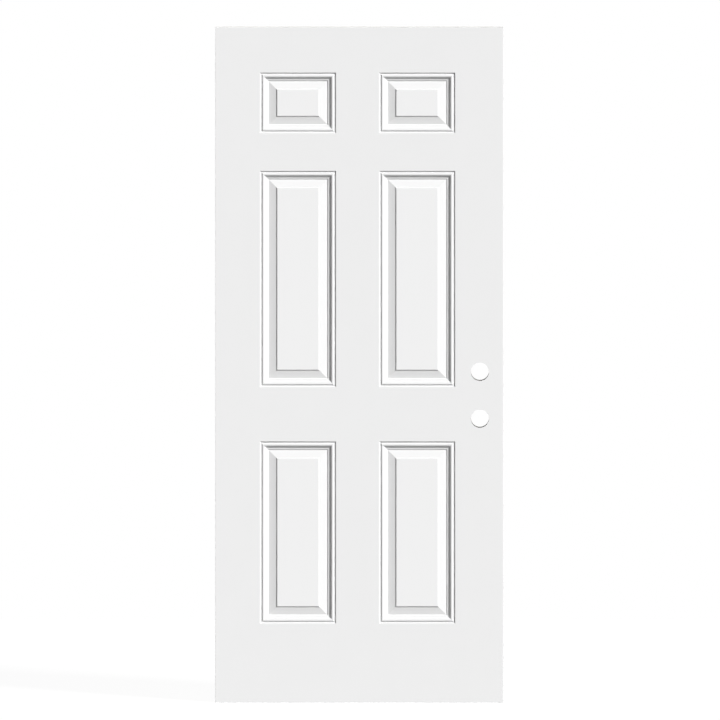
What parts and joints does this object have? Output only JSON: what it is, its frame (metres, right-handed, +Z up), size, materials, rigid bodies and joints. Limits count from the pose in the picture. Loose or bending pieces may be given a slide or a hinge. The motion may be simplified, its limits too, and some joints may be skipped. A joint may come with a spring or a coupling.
{
  "type": "panelled entry door slab",
  "caption": "Insulated entry door slab with embossed raised panels on both faces, bored for a lockset and a deadbolt and pocketed for hinges.",
  "frame": {"origin": "middle of the slab's bottom edge, half way through its thickness", "axes": "+X from the hinge edge to the lock edge, +Y from the front face to the back face, +Z up the slab"},
  "size_m": [0.8572, 0.0444, 2.0129],
  "materials": {
    "primed_steel": "white factory primer, low sheen",
    "pine": "planed, unfinished softwood",
    "composite": "extruded wood-fibre composite",
    "white_vinyl": "extruded cellular vinyl",
    "foam": "rigid closed-cell foam",
    "zinc_wire": "zinc plated wire"
  },
  "bodies": {
    "root": {"front_skin": "primed_steel", "back_skin": "primed_steel", "hinge_stile": "pine", "lock_stile": "pine", "top_rail": "white_vinyl", "bottom_rail": "composite", "lock_block": "composite", "foam_core": "foam", "frame_staples": "zinc_wire"}
  },
  "joints": []
}
